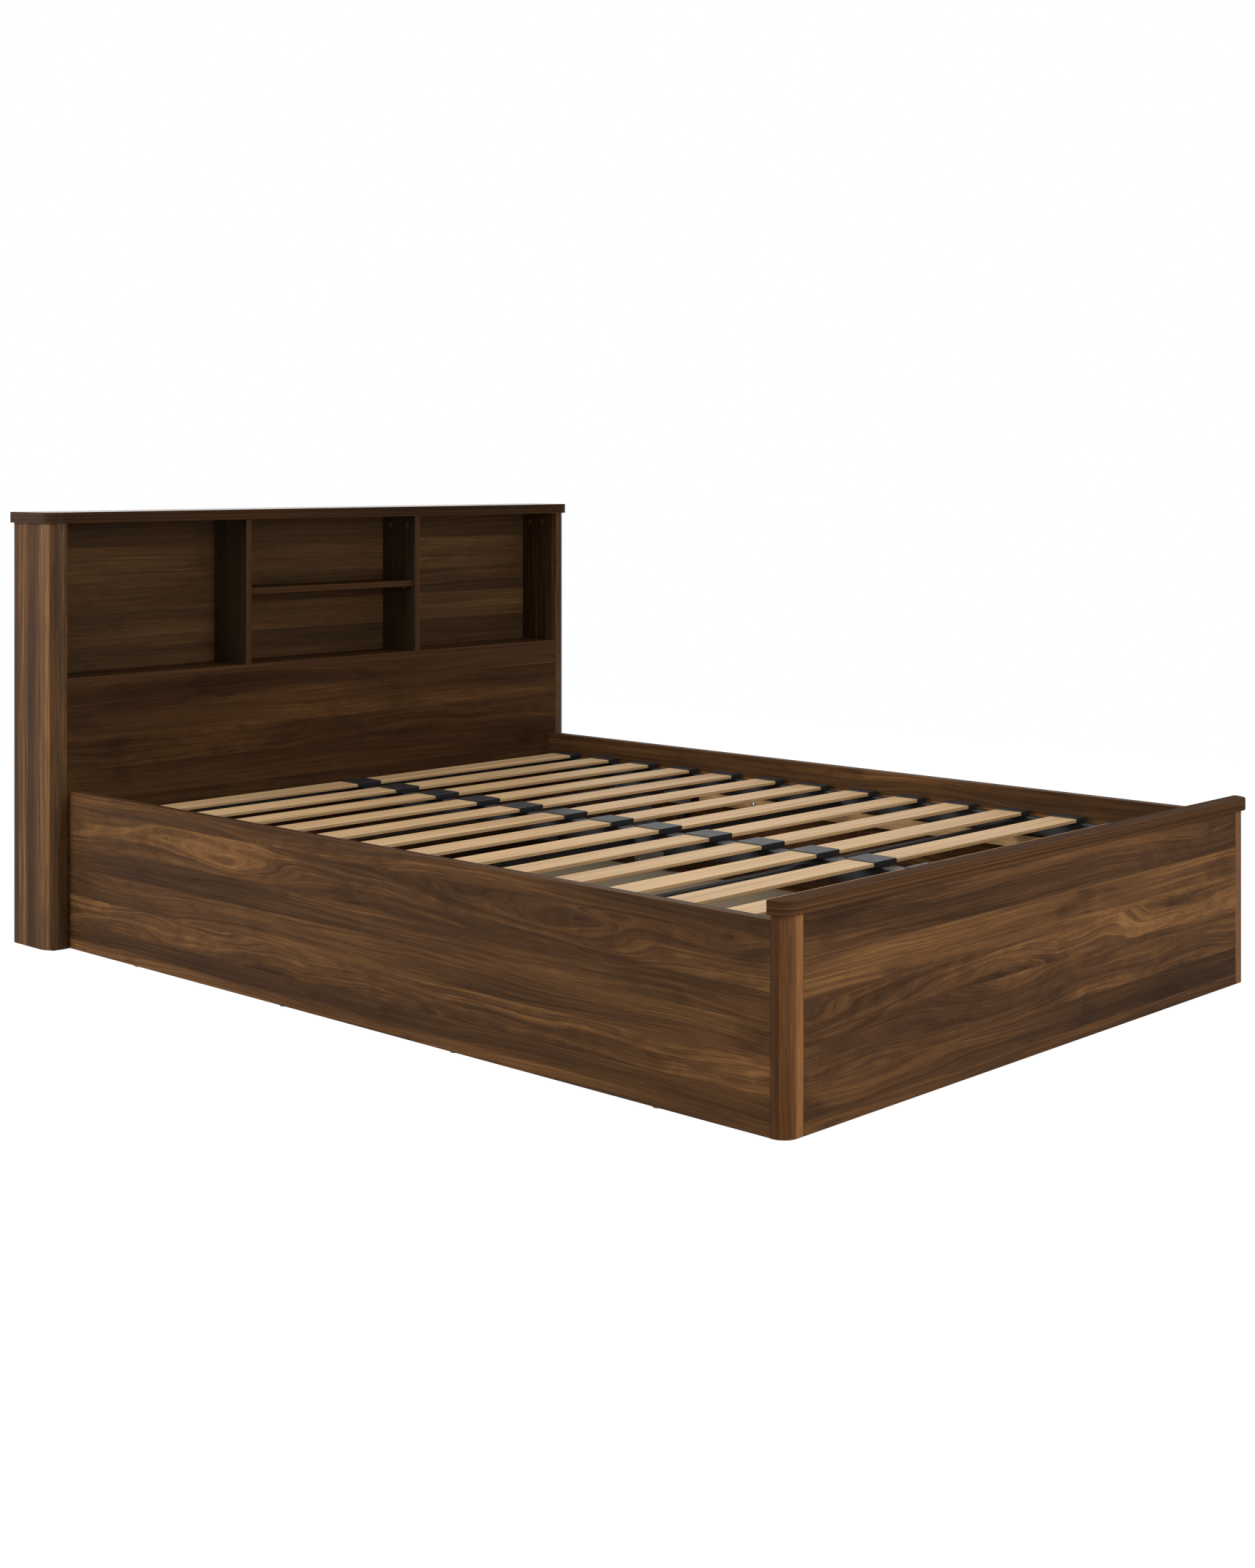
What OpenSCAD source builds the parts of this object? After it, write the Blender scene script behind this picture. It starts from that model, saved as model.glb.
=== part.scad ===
// Storage bed frame with a bookcase headboard and a gas-lift slatted deck.
// Millimetres. Origin at the middle of the footprint on the floor,
// +Y towards the headboard, +X to the right seen from the foot.

/* [Mattress space] */
// Width of the mattress that the bed is made for
mattress_w = 1530; // [1370:10:1830]
// Length of the mattress
mattress_l = 2030; // [1900:10:2100]
// Free width on each side of the mattress
mattress_side_gap = 3; // [1:1:10]
// Free length at the mattress in all
mattress_end_gap = 8; // [4:1:30]

/* [Base box] */
// Height of the top edge of the side rails above the floor
rail_top = 360; // [330:5:420]
// Thickness of the side rails
rail_t = 22; // [18:1:30]
// Thickness of the glides under the boards
glide_t = 2; // [1:0.5:6]
// Diameter of the glides
glide_d = 20; // [14:1:22]
// Rise of the footboard panel and its posts above the side rails, without the cap
foot_rise = 9; // [0:1:60]
// Thickness of the footboard panel and its posts
foot_t = 32; // [32:1:45]
// Width of a foot corner post
foot_post_w = 47; // [40:1:70]
// Radius of the rounded edge of a foot corner post
foot_post_r = 30; // [10:1:31]
// Thickness of the footboard cap
cap_t = 25; // [18:1:32]
// Overhang of the cap at the front
cap_over_front = 8; // [2:1:15]
// Overhang of the cap at each side
cap_over_side = 10; // [2:1:15]
// Radius that softens the edges of the boards
arris = 1.5; // [0.5:0.5:3]
// Chamfer beside a butt joint between two boards
joint_v = 0.8; // [0.4:0.2:2]

/* [Bookcase headboard] */
// Height of the headboard with its top board
head_h = 997; // [850:1:1200]
// Depth of the headboard
head_d = 147; // [130:1:250]
// Thickness of the headboard side and its corner post
head_side_t = 48; // [40:1:60]
// Reveal between the outer face of a rail and the corner post of the headboard
head_reveal = 6; // [0:1:12]
// Depth of the rounded corner post
head_post_d = 38; // [38:1:50]
// Radius of the rounded edge of the corner post
head_post_r = 37; // [15:1:37]
// Thickness of the top board
top_t = 25; // [18:1:32]
// Overhang of the top board at the front
top_over_front = 8; // [2:1:15]
// Overhang of the top board at each side
top_over_side = 10; // [2:1:15]
// Thickness of the two dividers
divider_t = 16; // [12:1:22]
// Clear width of the middle compartment
middle_w = 539; // [400:1:640]
// Height of the upper face of the compartment floor
comp_floor_z = 617; // [520:1:650]
// Thickness of the compartment floor
comp_floor_t = 16; // [12:1:22]
// Height of the upper face of the middle shelf
shelf_z = 802; // [720:1:880]
// Thickness of the middle shelf
shelf_t = 15; // [12:1:22]
// Setback of the middle shelf from the front
shelf_setback = 13; // [4:1:40]
// Thickness of the back and the lower front panel
head_panel_t = 15; // [9:1:18]
// Setback of the back panel from the rear edge
back_inset = 3; // [0:1:6]
// Height of the underside of the bottom board
bottom_board_z = 60; // [40:5:120]
// Diameter of the shelf pins
shelf_pin_d = 8; // [5:1:10]
// Length of a shelf pin that carries the shelf
shelf_pin_out = 9; // [6:1:12]
// Diameter of a cam lock
cam_d = 15; // [12:1:15]
// Depth of a cam lock in its board
cam_depth = 10.5; // [8:0.5:11]
// Distance of the cam locks below the top board
cam_drop = 25; // [20:1:34]
// Thickness of the cam covers
cam_cover_t = 1; // [0.5:0.5:2]

/* [Storage floor and ledgers] */
// Height and width of the battens that carry the storage floor
floor_cleat = 18; // [12:1:19]
// Width of the middle floor beam
floor_beam_w = 60; // [40:5:100]
// Thickness of the storage floor panels
floor_panel_t = 12; // [6:1:15]
// Free gap round each storage floor panel
floor_panel_gap = 1; // [0.5:0.5:4]
// Width and height of the ledgers that carry the deck
ledger = 30; // [25:1:36]
// Height of the rubber bumpers on the ledgers
bumper_h = 4; // [2:1:8]
// Diameter of the bumpers
bumper_d = 20; // [12:1:24]
// Gap between the bumpers and the closed deck
rest_gap = 0.3; // [0.2:0.1:1]

/* [Lifting deck] */
// Depth of the slat tops below the rail tops
deck_recess = 48; // [40:1:70]
// Height of the steel tubes of the deck frame
tube_h = 40; // [30:1:45]
// Width of the steel tubes of the deck frame
tube_w = 25; // [20:1:30]
// Wall of the steel tubes
tube_wall = 1.5; // [1:0.5:3]
// Gap between a side rail and the deck frame
deck_side_gap = 8; // [8:0.5:14]
// Gap between the headboard and the closed deck
deck_head_gap = 14; // [12:1:25]
// Gap between the footboard and the closed deck
deck_foot_gap = 10; // [8:1:25]
// Size of the square cross bars
cross_bar = 25; // [20:1:28]
// Number of slat rows
slat_rows = 14; // [10:1:16]
// Width of a slat
slat_w = 68; // [50:1:75]
// Thickness of a slat
slat_t = 8; // [6:1:10]
// Wall of the slat holders
holder_wall = 2; // [1.5:0.5:3]
// Length of slat that a holder grips
holder_grip = 34; // [25:1:45]
// Free play of a slat in its holder
slat_play = 0.3; // [0.2:0.1:1]
// Height of the mattress stop above the slats
stop_rise = 40; // [20:1:45]
// Diameter of the mattress stop rod
stop_d = 6; // [5:0.5:7]
// Width of a mattress stop
stop_w = 140; // [80:5:220]
// Distance of the mattress stops from the middle
stop_x = 420; // [300:10:560]
// Width of the lifting strap
strap_w = 25; // [20:1:40]
// Thickness of the lifting strap
strap_t = 2.5; // [1.5:0.5:4]
// Outer width of the strap loop
strap_span = 150; // [120:5:220]

/* [Lifting mechanism] */
// Distance of the pivot from the head end of the deck
pivot_inset = 270; // [240:5:320]
// Distance of the pivot below the deck frame
pivot_drop = 22; // [20:1:30]
// Diameter of the pivot pin
pivot_d = 12; // [10:1:16]
// Radial clearance of the pivot and strut bearings
bearing_gap = 0.05; // [0.02:0.01:0.1]
// Distance from the pivot to each end of a gas strut
strut_arm = 250; // [240:1:255]
// Angle at the pivot between the two strut ends with the deck closed
strut_angle = 50; // [48:1:52]
// Angle that the deck opens
lift_angle = 40; // [30:1:42]
// Outer diameter of a gas strut cylinder
strut_d = 20; // [18:1:21]
// Wall of a gas strut cylinder
strut_wall = 1.5; // [1:0.5:2]
// Diameter of a gas strut rod
rod_d = 8; // [6:1:10]
// Diameter of the stud in the lower strut eye
stud_d = 8; // [6:1:10]
// Width of the strut eyes along their stud
eye_w = 10; // [8:1:12]
// Thickness of the steel plates of the mechanism
plate_t = 4; // [3:0.5:4]
// Thickness of the corner brackets
bracket_t = 3; // [2:0.5:3]
// Length of each leg of a corner bracket
bracket_leg = 40; // [30:1:50]
// Height of a corner bracket
bracket_h = 120; // [80:5:140]
// Diameter of the screw heads
screw_head_d = 10; // [8:1:12]
// Height of the screw heads
screw_head_h = 2.5; // [1.5:0.5:2.5]
// Diameter of the screw shanks
screw_d = 5; // [4:0.5:6]
// Length of the screw shanks in the wood
screw_l = 12; // [8:1:14]

/* [Hidden] */
$fn = 48;

walnut = [0.36, 0.23, 0.15];
walnut_dark = [0.26, 0.16, 0.11];
pine = [0.80, 0.66, 0.46];
board_grey = [0.72, 0.69, 0.64];
frame_black = [0.13, 0.13, 0.14];
zinc = [0.70, 0.71, 0.72];
black_plastic = [0.08, 0.08, 0.08];
brown_plastic = [0.30, 0.21, 0.15];
webbing = [0.10, 0.10, 0.11];

// Widths of the base box
inner_w = mattress_w + 2 * mattress_side_gap;
rail_in = inner_w / 2;
rail_out = rail_in + rail_t;
head_in = rail_out + head_reveal;
head_out = head_in + head_side_t;

// Height of the footboard panel and its posts
foot_h = rail_top + foot_rise;

// Places along the bed, from the foot to the head
inner_l = mattress_l + mattress_end_gap;
total_l = cap_over_front + foot_t + inner_l + head_d;
y_cap = -total_l / 2;
y_foot = y_cap + cap_over_front;
y_rail = y_foot + foot_t;
y_head = y_rail + inner_l;
y_back = y_head + head_d;

// Heights of the storage floor, the deck and the ledgers
floor_z = glide_t + floor_cleat;
floor_top = floor_z + floor_panel_t;
slat_top = rail_top - deck_recess;
tube_top = slat_top - slat_t - holder_wall;
tube_z = tube_top - tube_h;
ledger_top = tube_z - bumper_h - rest_gap;
ledger_z = ledger_top - ledger;

// Headboard heights and depths
head_board_top = head_h - top_t;
comp_floor_under = comp_floor_z - comp_floor_t;
y_back_panel = y_back - back_inset - head_panel_t;
shelf_pin_z = shelf_z - shelf_t - shelf_pin_d / 2;
shelf_pin_inset = 28;
shelf_pin_y = [y_head + shelf_setback + shelf_pin_inset, y_back_panel - shelf_pin_inset];
cam_z = head_board_top - cam_drop;
// Setbacks of the cam locks from the front of the headboard
cam_front = 32;
cam_back = 100;
side_cam_front = 52;
divider_in = middle_w / 2;
divider_out = divider_in + divider_t;
// Bottom of the back panel, level with the bottom board
back_panel_z = bottom_board_z;

// Deck frame, measured from the middle of the bed and along it
tube_out = rail_in - deck_side_gap;
tube_in = tube_out - tube_w;
y_deck_head = y_head - deck_head_gap;
y_deck_foot = y_rail + deck_foot_gap;
deck_l = y_deck_head - y_deck_foot;
centre_tube_w = 40;
slat_end_margin = 45;
slat_r = 2;
slat_mid_gap = 3;
slat_pitch = (deck_l - 2 * slat_end_margin - slat_w) / (slat_rows - 1);
holder_out = tube_out - 2;
centre_holder_half = holder_grip + 3;
cross_bar_share = [0.25, 0.5, 0.75];

// Pivot and gas struts, in the plane of the bed's side
y_pivot = y_deck_head - pivot_inset;
z_pivot = tube_z - pivot_drop;
pivot = [y_pivot, z_pivot];
strut_low = [y_pivot - strut_arm * cos(strut_angle), z_pivot - strut_arm * sin(strut_angle)];
strut_high = [y_pivot - strut_arm, z_pivot];
strut_tilt = atan((strut_low.x - strut_high.x) / (strut_high.y - strut_low.y));
strut_closed = 2 * strut_arm * sin(strut_angle / 2);
strut_open = 2 * strut_arm * sin((strut_angle + lift_angle) / 2);
strut_stroke = strut_open - strut_closed;

// Layers of the mechanism from the side rail inwards, as distance from the rail
arm_out = deck_side_gap + tube_w - plate_t;
strut_gap = 3.5;
strut_mid = plate_t + strut_gap + strut_d / 2;
open_pivot_gap = 0.4;
side_play = 0.3;
clip_t = 2.2;

// Gas strut lengths along its axis from the lower eye
eye_d = 20;
neck_d = 12;
neck_low = 8;
body_start = 18;
rod_eye_d = 18;
rod_neck = 14;
rod_shown = 4;
neck_start = strut_closed - rod_eye_d / 2 + 1 - rod_neck;
body_end = neck_start - rod_shown;
end_wall = 5;
guide_l = 10;
piston_t = 6;
piston_gap = 0.2;

// Ledgers stop clear of the lifting arm
ledger_arm_gap = 45;
y_ledger_end = strut_high.x - ledger_arm_gap;

// Rectangle between two corners with rounded corners
module round_rect(a, b, r) {
  translate([a.x + r, a.y]) square([b.x - a.x - 2 * r, b.y - a.y]);
  translate([a.x, a.y + r]) square([b.x - a.x, b.y - a.y - 2 * r]);
  for (x = [a.x + r, b.x - r], y = [a.y + r, b.y - r])
    translate([x, y]) circle(r, $fn = 24);
}

// Rectangle with chamfered corners on its first axis' low side
module v_rect(a, b, c) {
  polygon([[a.x + c, a.y], [b.x - c, a.y], [b.x, a.y + c], [b.x, b.y - c],
           [b.x - c, b.y], [a.x + c, b.y], [a.x, b.y - c], [a.x, a.y + c]]);
}

// Direction to the right of the way from p to q
function right_of(p, q) = [q.y - p.y, p.x - q.x] / norm(q - p);

// Outline at a distance r round a counter-clockwise row of points, corners cut flat
module flat_outline(pts, r) {
  n = len(pts);
  polygon([for (i = [0 : n - 1], side = [right_of(pts[(i + n - 1) % n], pts[i]),
                                         right_of(pts[i], pts[(i + 1) % n])])
           pts[i] + r * side]);
}

// The same outline with round corners
module round_outline(pts, r) {
  flat_outline(pts, r);
  for (p = pts) translate(p) circle(r);
}

// Outline in x and z drawn along y
module along_y(y0, y1) {
  translate([0, y1, 0]) rotate([90, 0, 0]) linear_extrude(y1 - y0) children();
}

// Outline in y and z drawn along x
module along_x(x0, x1) {
  translate([x0, 0, 0]) rotate([90, 0, 90]) linear_extrude(x1 - x0) children();
}

// Outline in x and y drawn along z
module along_z(z0, z1) {
  translate([0, 0, z0]) linear_extrude(z1 - z0) children();
}

// Round bar along x between two places
module rod_x(x0, x1, at, d) {
  translate([x0, at.x, at.y]) rotate([0, 90, 0]) cylinder(d = d, h = x1 - x0);
}

// The same piece on the other side of the bed
module mirrored() {
  mirror([1, 0, 0]) children();
}

// Board lying flat whose front corners are rounded and whose edges are softened
module nosed_board(half_w, y0, y1, z0, z1, r) {
  mid = half_w - r;
  translate([0, y1, 0]) rotate([0, 0, 180]) along_x(-mid, mid) nosed_edge(y1 - y0, z0, z1);
  for (m = [0, 1]) mirror([m, 0, 0]) translate([mid, 0, 0]) {
    along_y(y0 + r, y1) nosed_edge(r, z0, z1);
    translate([0, y0 + r, 0]) rotate([0, 0, 270])
      rotate_extrude(angle = 90, $fn = 96) nosed_edge(r, z0, z1);
  }
}

// Outline from 0 to a softened edge at r
module nosed_edge(r, z0, z1) {
  a = arris;
  translate([0, z0]) square([r - a, z1 - z0]);
  translate([0, z0 + a]) square([r, z1 - z0 - 2 * a]);
  for (z = [z0 + a, z1 - a]) translate([r - a, z]) circle(a, $fn = 24);
}

// Outline of a left corner post with its outer front edge rounded
module post_outline(x0, w, y0, d, r) {
  v = joint_v;
  intersection() {
    translate([x0 + r, y0 + r]) circle(r, $fn = 96);
    translate([x0, y0]) square([r, r]);
  }
  polygon([[x0 + r, y0], [x0 + w - v, y0], [x0 + w, y0 + v], [x0 + w, y0 + d],
           [x0 + v, y0 + d], [x0, y0 + d - v], [x0, y0 + r], [x0 + r, y0 + r]]);
}

module head_top_board() {
  color(walnut_dark)
    nosed_board(head_out + top_over_side, y_head - top_over_front, y_back,
                head_board_top, head_h, head_post_r + top_over_front);
}

module head_post_left() {
  color(walnut) along_z(glide_t, head_board_top)
    post_outline(-head_out, head_side_t, y_head, head_post_d, head_post_r);
}

module head_post_right() {
  mirrored() head_post_left();
}

module head_side_right() {
  color(walnut) difference() {
    along_z(glide_t, head_board_top)
      v_rect([head_in, y_head + head_post_d], [head_out, y_back], joint_v);
    for (y = [side_cam_front, cam_back])
      rod_x(head_in, head_in + cam_depth, [y_head + y, cam_z], cam_d);
  }
}

module head_side_left() {
  mirrored() head_side_right();
}

module head_divider_right() {
  color(walnut_dark) difference() {
    along_z(comp_floor_z, head_board_top)
      round_rect([divider_in, y_head], [divider_out, y_back_panel], arris);
    for (y = [cam_front, cam_back])
      rod_x(divider_in, divider_in + cam_depth, [y_head + y, cam_z], cam_d);
    for (y = shelf_pin_y)
      rod_x(divider_in, divider_in + shelf_pin_out, [y, shelf_pin_z], shelf_pin_d);
  }
}

module head_divider_left() {
  mirrored() head_divider_right();
}

module head_mid_shelf() {
  color(walnut_dark) along_x(-divider_in, divider_in)
    round_rect([y_head + shelf_setback, shelf_z - shelf_t], [y_back_panel, shelf_z], arris);
}

module shelf_pins() {
  color(zinc) for (m = [0, 1], y = shelf_pin_y) mirror([m, 0, 0])
    rod_x(divider_in - shelf_pin_out, divider_in + shelf_pin_out, [y, shelf_pin_z],
          shelf_pin_d);
}

module head_compartment_floor() {
  color(walnut_dark) along_x(-head_in, head_in)
    round_rect([y_head, comp_floor_under], [y_back_panel, comp_floor_z], arris);
}

module head_front_panel() {
  color(walnut_dark) along_x(-head_in, head_in)
    round_rect([y_head, glide_t], [y_head + head_panel_t, comp_floor_under], arris);
}

module head_back_panel() {
  color(walnut_dark) along_x(-head_in, head_in)
    round_rect([y_back_panel, back_panel_z], [y_back_panel + head_panel_t, head_board_top],
               arris);
}

module head_bottom_board() {
  color(walnut_dark) along_x(-head_in, head_in)
    round_rect([y_head + head_panel_t, bottom_board_z],
               [y_back_panel, bottom_board_z + head_panel_t], arris);
}

module head_stiffeners() {
  color(walnut_dark) for (x = [-divider_out, divider_in])
    translate([x, y_head + head_panel_t, bottom_board_z + head_panel_t])
      cube([divider_t, y_back_panel - y_head - head_panel_t,
            comp_floor_under - bottom_board_z - head_panel_t]);
}

// Faces and setbacks of the cam locks in the right half
cam_places = [[divider_in, cam_front], [divider_in, cam_back],
              [head_in, side_cam_front], [head_in, cam_back]];

// One cam lock with its screwdriver cross, set in the face at x
module cam_lock(x, y) {
  face = x + cam_cover_t;
  cross_l = 8;
  cross_w = 1.6;
  cross_deep = 3;
  difference() {
    rod_x(face, x + cam_depth, [y, cam_z], cam_d);
    for (turn = [0, 90]) translate([face, y, cam_z]) rotate([turn, 0, 0])
      cube([cross_deep, cross_w, cross_l], center = true);
  }
}

module cam_locks() {
  color(zinc) for (m = [0, 1], at = cam_places) mirror([m, 0, 0])
    cam_lock(at.x, y_head + at.y);
}

module cam_covers() {
  color(brown_plastic) for (m = [0, 1], at = cam_places) mirror([m, 0, 0])
    rod_x(at.x, at.x + cam_cover_t, [y_head + at.y, cam_z], cam_d);
}

module side_rail_left() {
  color(walnut) along_y(y_rail, y_head)
    round_rect([-rail_out, glide_t], [-rail_in, rail_top], arris);
}

module side_rail_right() {
  mirrored() side_rail_left();
}

module foot_panel() {
  post_in = rail_out - foot_post_w;
  color(walnut) along_z(glide_t, foot_h)
    v_rect([-post_in, y_foot], [post_in, y_rail], joint_v);
}

module foot_post_left() {
  color(walnut) along_z(glide_t, foot_h)
    post_outline(-rail_out, foot_post_w, y_foot, foot_t, foot_post_r);
}

module foot_post_right() {
  mirrored() foot_post_left();
}

module foot_cap() {
  color(walnut) nosed_board(rail_out + cap_over_side, y_cap, y_rail, foot_h,
                            foot_h + cap_t, foot_post_r + cap_over_front);
}

module side_ledger_left() {
  color(pine) along_y(y_rail + ledger, y_ledger_end)
    round_rect([-rail_in, ledger_z], [-rail_in + ledger, ledger_top], arris);
}

module side_ledger_right() {
  mirrored() side_ledger_left();
}

module foot_ledger() {
  color(pine) along_x(-rail_in, rail_in)
    round_rect([y_rail, ledger_z], [y_rail + ledger, ledger_top], arris);
}

module floor_cleats() {
  color(pine) {
    for (s = [-1, 1]) translate([s > 0 ? rail_in - floor_cleat : -rail_in, y_rail, glide_t])
      cube([floor_cleat, inner_l, floor_cleat]);
    for (y = [y_rail, y_head - floor_cleat], m = [0, 1]) mirror([m, 0, 0])
      translate([floor_beam_w / 2 + floor_panel_gap, y, glide_t])
        cube([rail_in - floor_cleat - floor_beam_w / 2 - 2 * floor_panel_gap,
              floor_cleat, floor_cleat]);
  }
}

module centre_floor_beam() {
  color(pine) along_y(y_rail, y_head)
    round_rect([-floor_beam_w / 2, glide_t], [floor_beam_w / 2, floor_z], arris);
}

module floor_panels() {
  g = floor_panel_gap;
  half_l = inner_l / 2;
  color(board_grey) for (s = [0, 1], part = [0, 1])
    translate([s > 0 ? g / 2 : -rail_in + g, y_rail + part * half_l + g, floor_z])
      cube([rail_in - 1.5 * g, half_l - 2 * g, floor_panel_t]);
}

// Height of the lower edge of the corner brackets
bracket_z = 60;
bracket_screw_inset = 20;
bracket_screw_edge = 8;
bracket_screw_z = [bracket_z + bracket_screw_inset, bracket_z + bracket_h - bracket_screw_inset];
bracket_screw_off = bracket_leg - bracket_screw_edge;

// One angle bracket in the left corner where the rail meets a board at y
module corner_bracket(y, dir) {
  x = -rail_in;
  y_leg = dir > 0 ? y : y - bracket_leg;
  y_plate = dir > 0 ? y : y - bracket_t;
  difference() {
    union() {
      translate([x, y_leg, bracket_z]) cube([bracket_t, bracket_leg, bracket_h]);
      translate([x, y_plate, bracket_z]) cube([bracket_leg, bracket_t, bracket_h]);
    }
    for (z = bracket_screw_z) {
      rod_x(x, x + bracket_t, [y + dir * bracket_screw_off, z], screw_d);
      translate([x + bracket_screw_off, y_plate + bracket_t, z]) rotate([90, 0, 0])
        cylinder(d = screw_d, h = bracket_t);
    }
  }
}

module corner_brackets() {
  color(zinc) for (m = [0, 1]) mirror([m, 0, 0]) {
    corner_bracket(y_rail, 1);
    corner_bracket(y_head, -1);
  }
}

// One round-headed screw pointing towards -z from its seat at z = 0
module screw(length) {
  rotate_extrude() {
    translate([0, -length]) square([screw_d / 2, length]);
    difference() {
      intersection() {
        translate([0, screw_head_h - screw_head_d]) circle(screw_head_d);
        square([screw_head_d / 2, screw_head_h]);
      }
      translate([0, screw_head_h - 1]) square([1.3, 2]);
    }
  }
}

module bracket_screws() {
  length = screw_l + bracket_t;
  off = bracket_screw_off;
  color(zinc) for (m = [0, 1], z = bracket_screw_z) mirror([m, 0, 0]) {
    for (side = [[y_rail, 1], [y_head, -1]]) {
      translate([-rail_in + bracket_t, side[0] + side[1] * off, z]) rotate([0, 90, 0])
        screw(length);
      translate([-rail_in + off, side[0] + side[1] * bracket_t, z])
        rotate([side[1] > 0 ? -90 : 90, 0, 0]) screw(length);
    }
  }
}

// Even places of ledger screws and bumpers along a ledger
function spread(low, high, count) =
  [for (i = [0 : count - 1]) low + (high - low) * (i + 0.5) / count];

module ledger_screws() {
  z = ledger_z + ledger / 2;
  color(zinc) {
    for (m = [0, 1], y = spread(y_rail + ledger, y_ledger_end, 4)) mirror([m, 0, 0])
      translate([-rail_in + ledger, y, z]) rotate([0, 90, 0]) screw(screw_l + ledger);
    for (x = spread(-rail_in, rail_in, 4))
      translate([x, y_rail + ledger, z]) rotate([-90, 0, 0]) screw(screw_l + ledger);
  }
}

// Nail-on glides under the boards that stand on the floor
module glide_feet() {
  rail_mid = rail_in + rail_t / 2;
  head_mid = head_in + head_side_t / 2;
  back_inward = 30;
  color(black_plastic) {
    for (s = [-1, 1]) {
      for (y = spread(y_rail, y_head, 4)) glide(s * rail_mid, y);
      glide(s * (rail_out - foot_post_w / 2), y_rail - foot_t / 2);
      glide(s * head_mid, y_back - back_inward);
      glide(s * head_mid, y_head + head_post_d / 2);
      glide(s * rail_in / 2, y_rail - foot_t / 2);
    }
    glide(0, y_rail - foot_t / 2);
    for (y = spread(y_rail, y_head, 4)) glide(0, y);
  }
}

module glide(x, y) {
  translate([x, y, 0]) rotate_extrude() polygon([
    [0, 0], [glide_d / 2 - glide_t / 2, 0], [glide_d / 2, glide_t / 2],
    [glide_d / 2, glide_t], [0, glide_t]]);
}

// Bumpers stand on the ledgers under the middle of the deck tubes
bumper_side = deck_side_gap + tube_w / 2;
bumper_foot = deck_foot_gap + tube_w / 2;

module rest_bumpers() {
  color(black_plastic) {
    for (m = [0, 1], y = spread(y_rail + ledger, y_ledger_end, 3)) mirror([m, 0, 0])
      bumper(-rail_in + min(bumper_side, ledger - bumper_d / 2), y);
    for (x = spread(-rail_in, rail_in, 4))
      bumper(x, y_rail + min(bumper_foot, ledger - bumper_d / 2));
  }
}

module bumper(x, y) {
  translate([x, y, ledger_top]) rotate_extrude() polygon([
    [0, 0], [bumper_d / 2, 0], [bumper_d / 2 - bumper_h / 2, bumper_h], [0, bumper_h]]);
}

// Bolts of the lift plate: two above the pivot, one beside the lower stud
plate_edge = 14;
bolt_rise = 20;
bolt_ahead = 30;
bolt_behind = 60;
bolt_beside = 100;
plate_bolts = [pivot + [bolt_ahead, bolt_rise], pivot + [-bolt_behind, bolt_rise],
               strut_low + [bolt_beside, 0]];

module lift_plate_left() {
  color(zinc) difference() {
    along_x(-rail_in, -rail_in + plate_t)
      flat_outline([plate_bolts[0], plate_bolts[1], strut_low, plate_bolts[2]], plate_edge);
    for (at = plate_bolts) rod_x(-rail_in, -rail_in + plate_t, at, screw_d);
    rod_x(-rail_in, -rail_in + plate_t, pivot, pivot_d);
    rod_x(-rail_in, -rail_in + plate_t, strut_low, stud_d);
  }
}

module lift_plate_right() {
  mirrored() lift_plate_left();
}

module lift_plate_bolts() {
  color(zinc) for (m = [0, 1], at = plate_bolts) mirror([m, 0, 0])
    translate([-rail_in + plate_t, at.x, at.y]) rotate([0, 90, 0])
      screw(screw_l + plate_t);
}

// Shouldered pin that carries the deck, seated in the left plate
module pivot_pin_left() {
  shoulder = 4;
  spacer = pivot_d + 2 * shoulder;
  color(zinc) translate([-rail_in, pivot.x, pivot.y]) rotate([0, 90, 0])
    rotate_extrude() polygon([
      [0, 0], [pivot_d / 2, 0], [pivot_d / 2, plate_t], [spacer / 2, plate_t],
      [spacer / 2, arm_out - side_play], [pivot_d / 2, arm_out - side_play],
      [pivot_d / 2, arm_out + plate_t + side_play],
      [spacer / 2 - 1, arm_out + plate_t + side_play],
      [spacer / 2 - 1, arm_out + plate_t + side_play + clip_t],
      [0, arm_out + plate_t + side_play + clip_t]]);
}

module pivot_pin_right() {
  mirrored() pivot_pin_left();
}

// Stud on the left plate that carries the lower strut eye
module strut_stud_left() {
  near = strut_mid - eye_w / 2 - side_play;
  far = strut_mid + eye_w / 2 + side_play;
  color(zinc) translate([-rail_in, strut_low.x, strut_low.y]) rotate([0, 90, 0])
    rotate_extrude() polygon([
      [0, 0], [stud_d / 2, 0], [stud_d / 2, plate_t], [stud_d / 2 + 3, plate_t],
      [stud_d / 2 + 3, near], [stud_d / 2, near], [stud_d / 2, far],
      [stud_d / 2 + 2, far], [stud_d / 2 + 2, far + clip_t], [0, far + clip_t]]);
}

module strut_stud_right() {
  mirrored() strut_stud_left();
}

// Hollow rectangular outline of a frame tube
module tube_outline(a, b) {
  difference() {
    round_rect(a, b, 2 * tube_wall);
    round_rect(a + [tube_wall, tube_wall], b - [tube_wall, tube_wall], tube_wall);
  }
}

module deck_side_tube_left() {
  color(frame_black) along_y(y_deck_foot, y_deck_head)
    tube_outline([-tube_out, tube_z], [-tube_in, tube_top]);
}

module deck_side_tube_right() {
  mirrored() deck_side_tube_left();
}

module deck_head_tube() {
  color(frame_black) along_x(-tube_in, tube_in)
    tube_outline([y_deck_head - tube_w, tube_z], [y_deck_head, tube_top]);
}

module deck_foot_tube() {
  color(frame_black) along_x(-tube_in, tube_in)
    tube_outline([y_deck_foot, tube_z], [y_deck_foot + tube_w, tube_top]);
}

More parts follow.
